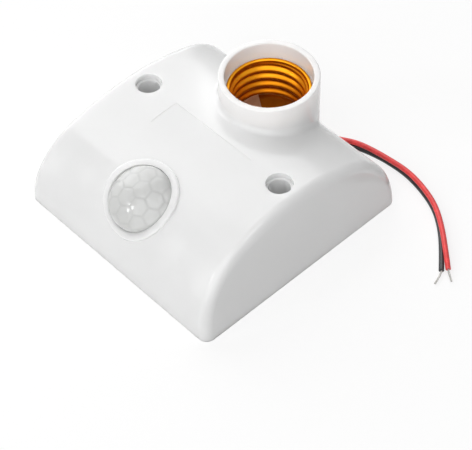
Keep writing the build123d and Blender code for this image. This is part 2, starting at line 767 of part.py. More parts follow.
def main():
    write("cover", make_cover())
    write("base_plate", make_base_plate())
    write("cover_screws", make_cover_screws())
    write("lens", make_lens())
    write("socket_shell", make_socket_shell())
    write("side_contact", make_side_contact())
    write("contact_spring", make_contact_spring())
    write("contact_button", make_contact_button())
    write("socket_rivets", make_socket_rivets())
    write("circuit_board", make_circuit_board())
    write("board_screws", make_board_screws())
    write("pir_sensor", make_pir_sensor())
    write("film_capacitor", make_film_capacitor())
    write("electrolytic_capacitors", make_electrolytics())
    write("control_chip", make_control_chip())
    write("triac", make_triac())
    write("rectifier_diodes", make_diodes())
    write("resistors", make_resistors())
    write("disc_capacitors", make_disc_capacitors())
    write("light_cell", make_light_cell())
    write("black_wire", lead("black_wire", black_route, lead_diameter))
    write("red_wire", lead("red_wire", red_route, lead_diameter))
    write("black_wire_end", lead("black_wire_end", black_bare_route, bare_diameter))
    write("red_wire_end", lead("red_wire_end", red_bare_route, bare_diameter))
    low = lead_diameter / 2 + lead_floor_gap
    black_inner = inner_route(low, black_solder_x, black_swing, black_settle, 0)
    red_inner = inner_route(low + lead_twin_step, red_solder_x, red_swing, red_settle, lead_hump)
    write("black_inner_lead", lead("black_inner_lead", black_inner, lead_diameter))
    write("red_inner_lead", lead("red_inner_lead", red_inner, lead_diameter))
    ends = zip((strip_rivet, tab_rivets[1]), lamp_lead_ends_x)
    lamp_routes = [lamp_route(*rivet, end_x) for rivet, end_x in ends]
    write("lamp_leads", [lead("lamp_lead", route, lamp_lead_diameter) for route in lamp_routes])


main()
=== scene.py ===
"""Motion sensor lamp holder: finishes, fine shapes and two wires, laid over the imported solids.

Lengths named here are in millimetres and are turned into metres where a mesh is made.
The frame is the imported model's: +Z up, with the back of the holder on the floor at height 0.
"""
import json
import math

import bmesh
import bpy
from bpy.props import FloatProperty, FloatVectorProperty, IntProperty, PointerProperty
from bpy.types import Operator, Panel, PropertyGroup
from mathutils import Matrix, Quaternion, Vector


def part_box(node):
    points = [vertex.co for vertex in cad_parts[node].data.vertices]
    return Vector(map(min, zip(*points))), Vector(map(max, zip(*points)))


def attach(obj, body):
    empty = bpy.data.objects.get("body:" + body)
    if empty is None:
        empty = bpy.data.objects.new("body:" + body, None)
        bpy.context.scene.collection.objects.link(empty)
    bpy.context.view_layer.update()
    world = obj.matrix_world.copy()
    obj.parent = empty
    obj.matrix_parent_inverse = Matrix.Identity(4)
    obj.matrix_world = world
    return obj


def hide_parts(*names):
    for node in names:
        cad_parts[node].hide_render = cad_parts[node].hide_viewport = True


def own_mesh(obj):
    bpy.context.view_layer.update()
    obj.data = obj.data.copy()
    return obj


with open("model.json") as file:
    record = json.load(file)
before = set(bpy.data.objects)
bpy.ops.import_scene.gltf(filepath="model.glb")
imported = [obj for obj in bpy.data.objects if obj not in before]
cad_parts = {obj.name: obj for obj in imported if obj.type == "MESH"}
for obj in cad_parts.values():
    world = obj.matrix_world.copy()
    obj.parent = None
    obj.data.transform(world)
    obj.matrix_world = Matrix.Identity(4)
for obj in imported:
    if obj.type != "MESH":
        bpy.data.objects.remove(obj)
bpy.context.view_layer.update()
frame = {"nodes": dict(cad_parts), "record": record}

bl_info = {
    "name": "Motion sensor lamp holder",
    "version": (1, 0, 0),
    "blender": (4, 5, 0),
    "location": "View3D > Sidebar > Lamp holder",
    "description": "Finishes, lamp thread, faceted lens, screws and wires of a lamp holder",
    "category": "Object",
}

MM = 0.001
still_body = "holder"
# The lens's grooves are marked under this name, and the lens finish paints shade on them
cell_line = "cell_line"
nothing = 1e-6
evenly = (1.0, 1.0, 1.0)
level_only = (1.0, 1.0, 0.0)


def mount(name):
    """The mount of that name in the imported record."""
    return next(entry for entry in frame["record"]["mounts"] if entry["name"] == name)


def box_mm(node):
    """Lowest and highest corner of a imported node, in millimetres."""
    low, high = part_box(node)
    return low / MM, high / MM


socket_mount = mount("lamp_socket")
socket_y = socket_mount["pos_m"][1] / MM
thread_root = socket_mount["dims"]["r_mm"]
shell_low, shell_high = box_mm("socket_shell")
strip_low, strip_high = box_mm("contact_spring")
screws_low, screws_high = box_mm("cover_screws")


# Settings that a user would change. The panel takes their labels from their names.

def millimetres(text, default):
    """A length in millimetres."""
    return FloatProperty(description=text, default=default, min=0.0, precision=3)


def fraction(text, default):
    """A share between nothing and all."""
    return FloatProperty(description=text, default=default, min=0.0, max=1.0, subtype="FACTOR")


def paint(text, default):
    """A colour, in linear light."""
    return FloatVectorProperty(description=text, default=default, size=3, min=0.0, max=1.0,
                               subtype="COLOR")


def watts(text, default):
    """The power of a lamp."""
    return FloatProperty(description=text, default=default, min=0.0, unit="POWER")


class HousingSettings(PropertyGroup):
    """Finish of the moulded cover and of the plate behind it."""

    white: paint("Colour of the glossy cover", (0.90, 0.902, 0.90))
    shade: paint("Colour of the faint clouds in the plastic", (0.875, 0.877, 0.875))
    gloss: fraction("Roughness of the polished cover", 0.14)
    plate_gloss: fraction("Roughness of the eroded mould face of the plate", 0.45)


class ShellSettings(PropertyGroup):
    """Sizes and finish of the brass shell with the lamp thread."""

    pitch: millimetres("Height of one turn of the lamp thread", 3.629)
    depth: millimetres("How far a crest of the thread stands in from the wall", 1.15)
    wall: millimetres("Thickness of the brass sheet", 0.35)
    lip: millimetres("Height of the rolled lip", 0.9)
    lip_reach: millimetres("How far the rolled lip stands out from the wall", 0.95)
    skirt_step: millimetres("How far the plain skirt stands in below the thread", 0.2)
    skirt_top: millimetres("Height where the plain skirt ends and the thread starts", 17.0)
    crest_height: millimetres("Height of a crest where it passes the +X side", 18.45)
    tab_reach: millimetres("Length of the two tabs on the floor of the cup", 7.0)
    tab_width: millimetres("Width of the two tabs on the floor of the cup", 8.0)
    rivet_reach: millimetres("Distance of a tab's rivet from the axis", 9.0)
    rivet_hole: millimetres("Radius of a tab's rivet hole", 1.35)
    brass: paint("Colour of clean brass", (0.73, 0.30, 0.012))
    aged: paint("Colour of the duller brass", (0.62, 0.235, 0.009))
    # Painted shade: the next three settings colour the brass darker deep in the socket, where less
    # light reaches. It is fully darkened below the first height and not darkened at all above the
    # second
    deep: paint("Colour of the brass deep in the socket", (0.44, 0.13, 0.004))
    full_shade_below: millimetres("Height below which the brass is deep", 18.0)
    unshaded_above: millimetres("Height above which the brass is clean", 34.0)


class ContactSettings(PropertyGroup):
    """Sizes and finish of the centre contact's strip."""

    strip: millimetres("Thickness of the spring strip", 0.4)
    width: millimetres("Width of the spring strip", 7.0)
    foot_end: millimetres("Far end of the foot, along Y from the socket's axis", 11.5)
    foot_start: millimetres("Where the foot starts to rise, along Y from the axis", 5.0)
    slope_end: millimetres("Where the strip is level again, along Y from the axis", 2.0)
    tip: millimetres("How far the strip reaches past the axis", 3.2)
    bend: millimetres("Radius of the two bends", 0.8)
    rivet_reach: millimetres("Distance of the foot's rivet from the axis", 8.5)
    foot_hole: millimetres("Radius of the rivet's hole in the foot", 1.35)
    button_hole: millimetres("Radius of the contact button's hole", 1.05)
    bronze: paint("Colour of the spring bronze", (0.93, 0.68, 0.50))


class LensSettings(PropertyGroup):
    """Sizes and finish of the frosted lens and its moulded cells."""

    seat_y: millimetres("Distance from the middle to where the lens's axis meets the arch", 31.9)
    seat_z: millimetres("Height where the lens's axis meets the arch", 25.304)
    tilt: FloatProperty(description="Lean of the lens's axis to the front", unit="ROTATION",
                        default=math.radians(27.7))
    edge: millimetres("Radius of the dome", 11.5)
    apex: millimetres("Height of the dome's top over its seat", 4.3)
    crown: millimetres("Radius of the dome's main curve", 18.0)
    corner: millimetres("Radius of the dome's round shoulder", 2.0)
    wall: millimetres("Thickness of the dome", 0.6)
    flange: millimetres("Radius of the flange inside the cover", 13.0)
    flange_depth: millimetres("Depth of the flange's upper face", 7.5)
    flange_wall: millimetres("Thickness of the flange", 1.0)
    cell: millimetres("Width of one moulded cell across its flats", 6.0)
    cell_u: millimetres("Where a cell's middle lies, across the lens", 1.15)
    cell_v: millimetres("Where a cell's middle lies, along the slope", 2.6)
    groove: millimetres("Width of the groove between two cells", 1.6)
    groove_depth: millimetres("Depth of the groove between two cells", 0.03)
    cell_rise: millimetres("How far a cell's middle stands over its edge", 0.13)
    milk: paint("Colour of the frosted plastic", (0.64, 0.645, 0.635))


class ScrewSettings(PropertyGroup):
    """Sizes and finish of the four cross-head screws in the back plate."""

    head: millimetres("Radius of the countersunk head", 2.8)
    shank: millimetres("Radius of the threaded shank", 1.2)
    arm: millimetres("Reach of one arm of the cross", 1.55)
    slot: millimetres("Width of one arm of the cross", 0.75)
    recess: millimetres("Depth of the cross", 1.1)
    thread_pitch: millimetres("Height of one turn of the screw's thread", 1.0)
    thread_depth: millimetres("Depth of the screw's thread", 0.22)
    turn_seed: IntProperty(description="Seed for how far each screw is turned", default=4)
    zinc: paint("Colour of the zinc plating", (0.72, 0.73, 0.75))


class WireSettings(PropertyGroup):
    """Sizes and colours of the two supply wires."""

    across: millimetres("Diameter over the insulation", 1.9)
    bare: millimetres("Diameter of the twisted bare end", 0.75)
    strands: IntProperty(description="Strands round the middle one", default=6, min=3, max=12)
    lay: millimetres("Length in which a strand goes once round", 12.0)
    red: paint("Colour of the red insulation", (0.72, 0.045, 0.045))
    black: paint("Colour of the black insulation", (0.018, 0.018, 0.020))
    tin: paint("Colour of the tinned strands", (0.50, 0.49, 0.47))


class StageSettings(PropertyGroup):
    """Light, floor and camera."""

    key: watts("Strength of the small lamp above", 0.45)
    left: watts("Strength of the large lamp at the left", 12.1)
    near_left: watts("Strength of the small lamp at the near left", 1.12)
    top: watts("Strength of the large lamp overhead", 2.4)
    near_right: watts("Strength of the lamp beside the camera", 12.6)
    sky: FloatProperty(description="Strength of the even light from all sides", default=0.03,
                       min=0.0)
    shadow: fraction("How much of the floor's shadow the camera sees", 0.3)


class HolderSettings(PropertyGroup):
    """All settings of the lamp holder."""

    housing: PointerProperty(type=HousingSettings)
    shell: PointerProperty(type=ShellSettings)
    contact: PointerProperty(type=ContactSettings)
    lens: PointerProperty(type=LensSettings)
    screws: PointerProperty(type=ScrewSettings)
    wires: PointerProperty(type=WireSettings)
    stage: PointerProperty(type=StageSettings)


# Node trees

class NodeWriter:
    """Adds nodes to a tree. A socket is given either a constant or another node's output."""

    def __init__(self, tree):
        self.tree = tree

    def put(self, socket, value):
        """Sets a socket, or links it where the value is an output."""
        if isinstance(value, bpy.types.NodeSocket):
            self.tree.links.new(value, socket)
        else:
            socket.default_value = value

    def node(self, kind, inputs=None, **choices):
        """A node with its choices made and its inputs filled."""
        made = self.tree.nodes.new(kind)
        for name, value in choices.items():
            setattr(made, name, value)
        for key, value in (inputs or {}).items():
            self.put(made.inputs[key], value)
        return made

    def sum(self, operation, *values):
        """The result of one sum on numbers."""
        made = self.node("ShaderNodeMath", dict(enumerate(values)), operation=operation)
        return made.outputs[0]

    def plus(self, first, second):
        """The first number plus the second."""
        return self.sum("ADD", first, second)

    def minus(self, first, second):
        """The first number less the second."""
        return self.sum("SUBTRACT", first, second)

    def over(self, first, second):
        """The first number divided by the second."""
        return self.sum("DIVIDE", first, second)

    def times(self, result, *others):
        """All the numbers multiplied together."""
        for other in others:
            result = self.sum("MULTIPLY", result, other)
        return result

    def vector(self, operation, *values):
        """The result of one sum on vectors: a number for a length, else a vector."""
        made = self.node("ShaderNodeVectorMath", dict(enumerate(values)), operation=operation)
        return made.outputs["Value" if operation == "LENGTH" else "Vector"]

    def scaled(self, vector, factor):
        """A vector times a number."""
        made = self.node("ShaderNodeVectorMath", {0: vector, "Scale": factor}, operation="SCALE")
        return made.outputs["Vector"]

    def parts(self, vector):
        """The three numbers of a vector."""
        return tuple(self.node("ShaderNodeSeparateXYZ", {0: vector}).outputs)

    def ramp(self, value, low, high, kind="SMOOTHSTEP", start=0.0, end=1.0):
        """Goes from start to end while the value goes from low to high."""
        inputs = {"Value": value, "From Min": low, "From Max": high, "To Min": start, "To Max": end}
        return self.node("ShaderNodeMapRange", inputs, interpolation_type=kind).outputs["Result"]


class ShapeTree(NodeWriter):
    """A Geometry Nodes tree with named inputs, ending in Realize Instances and Set Material."""

    def __init__(self, name):
        super().__init__(bpy.data.node_groups.new(name, "GeometryNodeTree"))
        for way in ("INPUT", "OUTPUT"):
            self.tree.interface.new_socket("Geometry", in_out=way, socket_type="NodeSocketGeometry")
        self.start = self.node("NodeGroupInput")

    def numbers(self, *names):
        """Number inputs of the tree, in that order."""
        for name in names:
            self.tree.interface.new_socket(name, in_out="INPUT", socket_type="NodeSocketFloat")
        return [self.start.outputs[name] for name in names]

    def input(self, name, kind):
        """One input of another kind."""
        self.tree.interface.new_socket(name, in_out="INPUT", socket_type=kind)
        return self.start.outputs[name]

    def moved(self, geometry, offset):
        """The geometry with its points moved."""
        made = self.node("GeometryNodeSetPosition", {"Geometry": geometry, "Offset": offset})
        return made.outputs[0]

    def end(self, geometry):
        """Realizes the result, gives it its material and hands it out."""
        real = self.node("GeometryNodeRealizeInstances", {"Geometry": geometry})
        material = self.input("Material", "NodeSocketMaterial")
        coated = self.node("GeometryNodeSetMaterial",
                           {"Geometry": real.outputs[0], "Material": material})
        self.node("NodeGroupOutput", {"Geometry": coated.outputs[0]})
        return self.tree


def thread_tree():
    """Moves the points of a round wall in and out, as a thread rolled into it would."""
    shape = ShapeTree("roll_thread")
    pitch, depth, crest, bottom, top, run = shape.numbers(
        "Pitch", "Depth", "Crest height", "Bottom", "Top", "Run-out")
    place = shape.node("GeometryNodeInputPosition").outputs[0]
    x, y, z = shape.parts(place)
    turns = shape.over(shape.minus(z, crest), pitch)
    phase = shape.minus(shape.times(turns, math.tau), shape.sum("ARCTAN2", y, x))
    wave = shape.sum("MULTIPLY_ADD", shape.sum("COSINE", phase), 0.5, 0.5)
    fade_in = shape.ramp(z, bottom, shape.plus(bottom, run))
    fade_out = shape.ramp(z, shape.minus(top, run), top, start=1.0, end=0.0)
    outward = shape.vector("NORMALIZE", shape.vector("MULTIPLY", place, level_only))
    offset = shape.scaled(outward, shape.times(wave, fade_in, fade_out, depth, -1.0))
    return shape.end(shape.moved(shape.start.outputs["Geometry"], offset))


def walk_over_dome(shape, reach, crown, corner, edge):
    """Distance along a dome's surface from its top to the point at that reach from its axis."""
    corner_centre = shape.minus(edge, corner)
    meet = shape.sum("ARCSINE", shape.over(corner_centre, shape.minus(crown, corner)))
    meet_reach = shape.times(shape.sum("SINE", meet), crown)
    on_crown = shape.sum("MINIMUM", reach, meet_reach)
    crown_turn = shape.sum("ARCSINE", shape.over(on_crown, crown))
    corner_share = shape.over(shape.minus(reach, corner_centre), corner)
    corner_turn = shape.sum("ARCSINE", shape.sum("MINIMUM", corner_share, 1.0))
    past_meet = shape.sum("MAXIMUM", shape.minus(corner_turn, meet), 0.0)
    return shape.plus(shape.times(crown_turn, crown), shape.times(past_meet, corner))


# The cell tree's inputs have the names of the lens's settings
cell_inputs = ("cell", "cell_u", "cell_v", "groove", "groove_depth", "cell_rise", "crown", "corner",
               "edge")


def cell_tree():
    """Raises six-sided cells on a dome, parted by grooves, and marks the grooves for painted shade.
    """
    shape = ShapeTree("mould_cells")
    cell, across, along, groove, groove_depth, rise, crown, corner, edge = shape.numbers(
        *cell_inputs)
    place = shape.node("GeometryNodeInputPosition").outputs[0]
    normal = shape.node("GeometryNodeInputNormal").outputs[0]
    level = shape.vector("MULTIPLY", place, level_only)
    reach = shape.sum("MAXIMUM", shape.vector("LENGTH", level), nothing)
    walked = walk_over_dome(shape, reach, crown, corner, edge)
    spread = shape.scaled(level, shape.over(walked, reach))
    centre = shape.node("ShaderNodeCombineXYZ", {"X": across, "Y": along}).outputs[0]
    grid = shape.scaled(shape.vector("SUBTRACT", spread, centre), shape.over(1.0, cell))
    half = (0.5, math.sqrt(3) / 2, 1.0)
    other_half = tuple(-value for value in half)
    even = shape.vector("WRAP", grid, half, other_half)
    odd_grid = shape.vector("SUBTRACT", grid, (half[0], half[1], 0.0))
    odd = shape.vector("WRAP", odd_grid, half, other_half)
    even_reach = shape.vector("LENGTH", even)
    odd_reach = shape.vector("LENGTH", odd)
    choice = {"Switch": shape.sum("LESS_THAN", odd_reach, even_reach), "False": even, "True": odd}
    nearer = shape.node("GeometryNodeSwitch", choice, input_type="VECTOR").outputs[0]
    own_x, own_y, _ = shape.parts(shape.vector("ABSOLUTE", nearer))
    slant = shape.plus(shape.times(own_x, half[0]), shape.times(own_y, half[1]))
    to_edge = shape.times(shape.minus(half[0], shape.sum("MAXIMUM", own_x, slant)), cell)
    in_groove = shape.ramp(to_edge, 0.0, shape.times(groove, 0.5), start=1.0, end=0.0)
    own_reach = shape.sum("MINIMUM", even_reach, odd_reach)
    bulge = shape.minus(1.0, shape.times(shape.sum("POWER", own_reach, 2.0), 3.0))
    raised = shape.minus(shape.times(bulge, rise), shape.times(in_groove, groove_depth))
    fade_start = shape.minus(edge, 0.35 * MM)
    on_dome = shape.ramp(reach, fade_start, edge, start=1.0, end=0.0)
    least_upward = 0.02
    outside = shape.sum("GREATER_THAN", shape.parts(normal)[2], least_upward)
    # The mark for the painted shade in the grooves. It fades out at the dome's edge and is kept to
    # its outer face
    line = shape.times(in_groove, on_dome, outside)
    marked = shape.node("GeometryNodeStoreNamedAttribute", {
        "Geometry": shape.start.outputs["Geometry"], "Name": cell_line, "Value": line})
    offset = shape.scaled(normal, shape.times(raised, on_dome, outside))
    return shape.end(shape.moved(marked.outputs[0], offset))


def placing_tree():
    """Puts one like piece on each point, each turned by its own angle."""
    shape = ShapeTree("place_pieces")
    piece = shape.input("Piece", "NodeSocketObject")
    seed = shape.input("Turn seed", "NodeSocketInt")
    source = shape.node("GeometryNodeObjectInfo", {"Object": piece}).outputs["Geometry"]
    points = shape.node("GeometryNodeMeshToPoints", {"Mesh": shape.start.outputs["Geometry"]})
    turn = shape.node("FunctionNodeRandomValue", {"Seed": seed}, data_type="FLOAT_VECTOR")
    turn.inputs["Max"].default_value = (0.0, 0.0, math.tau)
    placed = shape.node("GeometryNodeInstanceOnPoints", {
        "Points": points.outputs[0], "Instance": source, "Rotation": turn.outputs[0]})
    return shape.end(placed.outputs[0])


def result_of(thing):
    """The mesh that an object gives once its modifiers have run."""
    graph = bpy.context.evaluated_depsgraph_get()
    return bpy.data.meshes.new_from_object(thing.evaluated_get(graph))


def shape_with(piece, tree, **values):
    """Runs a tree on the piece and leaves the result as its plain mesh."""
    modifier = piece.modifiers.new(tree.name, "NODES")
    modifier.node_group = tree
    for item in tree.interface.items_tree:
        if item.in_out == "INPUT" and item.name in values:
            modifier[item.identifier] = values[item.name]
    before = piece.data
    result = result_of(piece)
    piece.modifiers.remove(modifier)
    piece.data = result
    result.name = piece.name
    bpy.data.meshes.remove(before)


# Meshes

def arc(centre, radius, start, end, steps):
    """Points of an arc in the plane of a profile, with its angles in degrees."""
    points = []
    for step in range(steps + 1):
        angle = math.radians(start + (end - start) * step / steps)
        points.append((centre[0] + radius * math.cos(angle), centre[1] + radius * math.sin(angle)))
    return points


def fine(points, step):
    """The same outline with its long runs divided."""
    result = [points[0]]
    for start, end in zip(points, points[1:]):
        count = max(1, math.ceil(math.dist(start, end) / step))
        for index in range(1, count + 1):
            share = index / count
            result.append(tuple(a + (b - a) * share for a, b in zip(start, end)))
    return result


def revolve(profile, steps, mesh=None):
    """Turns a profile of (reach, height) points about the Z axis and closes it where they meet."""
    mesh = mesh or bmesh.new()
    turn = math.tau / steps
    rings = []
    for reach, height in profile:
        if reach < nothing:
            rings.append([mesh.verts.new((0.0, 0.0, height * MM))])
            continue
        rings.append([mesh.verts.new((reach * MM * math.cos(turn * i),
                                      reach * MM * math.sin(turn * i), height * MM))
                      for i in range(steps)])
    closed = profile[0] != profile[-1] and profile[0][0] > nothing
    pairs = list(zip(rings, rings[1:])) + ([(rings[-1], rings[0])] if closed else [])
    for low, high in pairs:
        for i in range(steps):
            corners = [low[i % len(low)], low[(i + 1) % len(low)],
                       high[(i + 1) % len(high)], high[i % len(high)]]
            kept = [corner for n, corner in enumerate(corners) if corner not in corners[:n]]
            if len(kept) > 2:
                mesh.faces.new(kept)
    return mesh


def fill_outlines(mesh, height, *outlines):
    """Fills what lies between outlines at one height: gives their corners and the faces."""
    loops = [[mesh.verts.new((x * MM, y * MM, height * MM)) for x, y in outline]
             for outline in outlines]
    edges = [mesh.edges.new((loop[i - 1], loop[i])) for loop in loops for i in range(len(loop))]
    filled = bmesh.ops.triangle_fill(mesh, use_beauty=True, use_dissolve=False, edges=edges)
    return loops, [item for item in filled["geom"] if isinstance(item, bmesh.types.BMFace)]


def thicken(mesh, faces, rise):
    """Lifts a copy of flat faces by a number of millimetres and closes the sides."""
    copied = bmesh.ops.extrude_face_region(mesh, geom=faces, use_keep_orig=True)
    lifted = [item for item in copied["geom"] if isinstance(item, bmesh.types.BMVert)]
    bmesh.ops.translate(mesh, verts=lifted, vec=(0, 0, rise * MM))


def add_object(name, data):
    """Puts a mesh, curve, lamp or camera into the scene."""
    made = bpy.data.objects.new(name, data)
    bpy.context.scene.collection.objects.link(made)
    return made


def add_piece(name, mesh, sharp=35.0):
    """Makes an object of a finished mesh, with smooth faces and sharp edges above an angle."""
    data = bpy.data.meshes.new(name)
    bmesh.ops.recalc_face_normals(mesh, faces=mesh.faces)
    mesh.to_mesh(data)
    mesh.free()
    data.shade_smooth()
    data.set_sharp_from_angle(angle=math.radians(sharp))
    return add_object(name, data)


def in_metres(lengths):
    """Named lengths in millimetres, turned into metres."""
    return {name: length * MM for name, length in lengths.items()}


def coat(piece, material):
    """Gives the whole piece one material."""
    piece.data.materials.clear()
    piece.data.materials.append(material)


def stand_for(piece, slot, *nodes):
    """Fixes a piece to the still body and hides the solids it stands for; the slot is not used."""
    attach(piece, still_body)
    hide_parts(*nodes)


# Finishes

class Finish(NodeWriter):
    """A new material. What is the same all over is set on its shader's own sockets."""

    def __init__(self, name, roughness, **values):
        self.material = bpy.data.materials.new(name)
        self.material.use_nodes = True
        super().__init__(self.material.node_tree)
        self.sockets = self.tree.nodes["Principled BSDF"].inputs
        self.sockets["Roughness"].default_value = roughness
        for key, value in values.items():
            self.sockets[key.replace("_", " ")].default_value = value

    def place(self):
        """The object's own coordinates."""
        return self.node("ShaderNodeTexCoord").outputs["Object"]

    def clouds(self, scale, detail=2.0, stretch=evenly, roughness=0.5):
        """Noise with as many waves to the metre as scale says."""
        place = self.place()
        if stretch != evenly:
            place = self.node("ShaderNodeMapping", {"Vector": place, "Scale": stretch}).outputs[0]
        return self.node("ShaderNodeTexNoise", {
            "Vector": place, "Scale": scale, "Detail": detail, "Roughness": roughness,
        }).outputs["Fac"]

    def blend(self, share, first, second):
        """A colour between two."""
        made = self.node("ShaderNodeMix", {0: share}, data_type="RGBA")
        for socket, colour in ((made.inputs[6], first), (made.inputs[7], second)):
            self.put(socket, (*colour, 1.0) if isinstance(colour, tuple) else colour)
        return made.outputs[2]

    def colour(self, made):
        """Sets the colour."""
        self.put(self.sockets["Base Color"], made)

    def gloss(self, pattern, start, end):
        """Lets the roughness go from start to end with a pattern."""
        self.put(self.sockets["Roughness"], self.ramp(pattern, 0.3, 0.7, "LINEAR", start, end))

    def relief(self, pattern, depth):
        """Turns a pattern into relief of that many metres."""
        bump = self.node("ShaderNodeBump", {"Height": pattern, "Distance": depth})
        self.put(self.sockets["Normal"], bump.outputs[0])


def dimmed(colour, share):
    """A colour with that share of its light."""
    return tuple(value * share for value in colour)


def moulded_plastic(name, white, shade, roughness, grain=700.0, grain_depth=0.000006):
    """Moulded plastic: faint clouds, the slight waves of its skin, and light in its walls."""
    made = Finish(name, roughness, IOR=1.53, Subsurface_Weight=0.8, Subsurface_Scale=0.005,
                  Subsurface_Radius=evenly)
    made.colour(made.blend(made.ramp(made.clouds(28.0), 0.3, 0.7), white, shade))
    skin = made.clouds(grain, detail=3.0)
    made.gloss(skin, roughness * 0.85, roughness * 1.2)
    made.relief(skin, grain_depth)
    return made.material


def drawn_metal(name, clean, dull, roughness, stretch=(1.0, 1.0, 30.0), scale=90.0, deep=None):
    """Sheet metal: dull patches, fine drawing lines, and painted shade that darkens it deep in a
    hollow.
    """
    made = Finish(name, roughness, Metallic=1.0)
    patches = made.clouds(120.0, detail=4.0)
    colour = made.blend(made.ramp(patches, 0.35, 0.7), clean, dull)
    # Painted shade: the colour goes linearly to a darker one, from the high height down to the low
    # one
    if deep:
        low, high, painted_shade_colour = deep
        height = made.parts(made.place())[2]
        colour = made.blend(made.ramp(height, low, high, "LINEAR", 1.0, 0.0), colour, painted_shade_colour)
    made.colour(colour)
    lines = made.clouds(scale, detail=5.0, stretch=stretch, roughness=0.6)
    made.gloss(lines, roughness * 0.7, roughness * 1.35)
    made.relief(lines, 0.000005)
    return made.material


def frosted_plastic(name, milk):
    """Milky polyethylene that lets light in a little way, with faint random clouds and painted
    shade in the grooves between its cells.
    """
    made = Finish(name, 0.15, IOR=1.51, Subsurface_Weight=0.5, Subsurface_Scale=0.002,
                  Subsurface_Radius=evenly)
    slow = made.clouds(160.0, detail=3.0)
    cells = made.blend(made.ramp(slow, 0.35, 0.65), milk, dimmed(milk, 0.95))
    # Painted shade: the marked grooves are coloured darker, standing in for the light that the
    # moulded facets bend
    line = made.node("ShaderNodeAttribute", attribute_name=cell_line).outputs["Fac"]
    made.colour(made.blend(line, cells, dimmed(milk, 0.90)))
    grain = made.clouds(2600.0)
    made.gloss(grain, 0.12, 0.19)
    made.relief(grain, 0.000006)
    return made.material


def insulation(name, colour):
    """Soft wire insulation: slight gloss, faint scuffs and the waves that drawing leaves."""
    made = Finish(name, 0.34, IOR=1.52)
    scuffs = made.clouds(420.0, detail=4.0)
    paler = tuple(min(1.0, value * 1.25 + 0.01) for value in colour)
    made.colour(made.blend(made.ramp(scuffs, 0.45, 0.75), colour, paler))
    made.gloss(scuffs, 0.28, 0.44)
    made.relief(made.clouds(900.0), 0.00001)
    return made.material


def lacquer(name, colour, roughness=0.35, grain=900.0, depth=0.00003):
    """Dipped or moulded resin on a small component."""
    made = Finish(name, roughness, IOR=1.55)
    pattern = made.clouds(grain, detail=3.0)
    made.colour(made.blend(made.ramp(pattern, 0.3, 0.8), colour, dimmed(colour, 0.7)))
    made.relief(pattern, depth)
    return made.material


def board_mask(name):
    """Green solder mask over a woven board."""
    made = Finish(name, 0.38, IOR=1.5)
    weave = made.node("ShaderNodeTexBrick", {
        "Vector": made.place(), "Scale": 900.0, "Mortar Size": 0.03})
    patches = made.ramp(made.clouds(60.0, detail=3.0), 0.3, 0.7)
    made.colour(made.blend(patches, (0.02, 0.16, 0.06), (0.015, 0.11, 0.045)))
    made.relief(weave.outputs["Fac"], 0.00001)
    return made.material


def tinned(name, tin):
    """Tinned copper strand with dull spots."""
    made = Finish(name, 0.3, Metallic=1.0)
    spots = made.clouds(1500.0, detail=3.0)
    made.colour(made.blend(made.ramp(spots, 0.4, 0.7), tin, dimmed(tin, 0.8)))
    made.gloss(spots, 0.22, 0.42)
    made.relief(spots, 0.00001)
    return made.material


def finish(slot):
    """The material of a slot, made the first time that it is asked for."""
    name = slot + "_finish"
    found = bpy.data.materials.get(name)
    if found:
        return found
    chosen = bpy.context.scene.lamp_holder
    housing, shell, wires = chosen.housing, chosen.shell, chosen.wires
    white, shade = tuple(housing.white), tuple(housing.shade)
    # The brass's painted shade: the heights and darker colour for deep in the socket
    painted_shade_brass = (shell.full_shade_below * MM, shell.unshaded_above * MM, tuple(shell.deep))
    down, along = (1.0, 1.0, 30.0), (1.0, 12.0, 12.0)
    makers = {
        "cover_plastic": (moulded_plastic, white, shade, housing.gloss),
        "plate_plastic": (moulded_plastic, white, shade, housing.plate_gloss, 2600.0, 0.00002),
        "lens_plastic": (frosted_plastic, tuple(chosen.lens.milk)),
        "brass": (drawn_metal, tuple(shell.brass), tuple(shell.aged), 0.33, down, 90.0, painted_shade_brass),
        "bronze": (drawn_metal, tuple(chosen.contact.bronze), (0.80, 0.56, 0.40), 0.42, along),
        "plated_steel": (drawn_metal, tuple(chosen.screws.zinc), (0.58, 0.58, 0.58), 0.3,
                         evenly, 900.0),
        "sensor_can": (drawn_metal, (0.72, 0.71, 0.69), (0.60, 0.59, 0.57), 0.24),
        "board": (board_mask,),
        "film_box": (lacquer, (0.30, 0.035, 0.02)),
        "capacitor_sleeve": (lacquer, (0.02, 0.022, 0.03), 0.3, 300.0, 0.00001),
        "black_resin": (lacquer, (0.022, 0.022, 0.023), 0.55, 2200.0),
        "resistor_lacquer": (lacquer, (0.42, 0.26, 0.12), 0.4, 700.0),
        "disc_lacquer": (lacquer, (0.45, 0.16, 0.03), 0.42, 600.0),
        "cell_resin": (lacquer, (0.40, 0.19, 0.07), 0.22, 500.0),
        "black_insulation": (insulation, tuple(wires.black)),
        "red_insulation": (insulation, tuple(wires.red)),
        "white_insulation": (insulation, (0.70, 0.70, 0.68)),
        "tinned_copper": (tinned, tuple(wires.tin)),
    }
    maker, *values = makers[slot]
    return maker(name, *values)


node_finishes = {
    "cover_plastic": ("cover",),
    "plate_plastic": ("base_plate",),
    "brass": ("contact_button", "socket_rivets"),
    "bronze": ("side_contact",),
    "plated_steel": ("board_screws",),
    "sensor_can": ("pir_sensor",),
    "board": ("circuit_board",),
    "film_box": ("film_capacitor",),
    "capacitor_sleeve": ("electrolytic_capacitors",),
    "black_resin": ("control_chip", "triac", "rectifier_diodes"),
    "resistor_lacquer": ("resistors",),
    "disc_lacquer": ("disc_capacitors",),
    "cell_resin": ("light_cell",),
    "black_insulation": ("black_inner_lead",),
    "red_insulation": ("red_inner_lead",),
    "white_insulation": ("lamp_leads",),
}


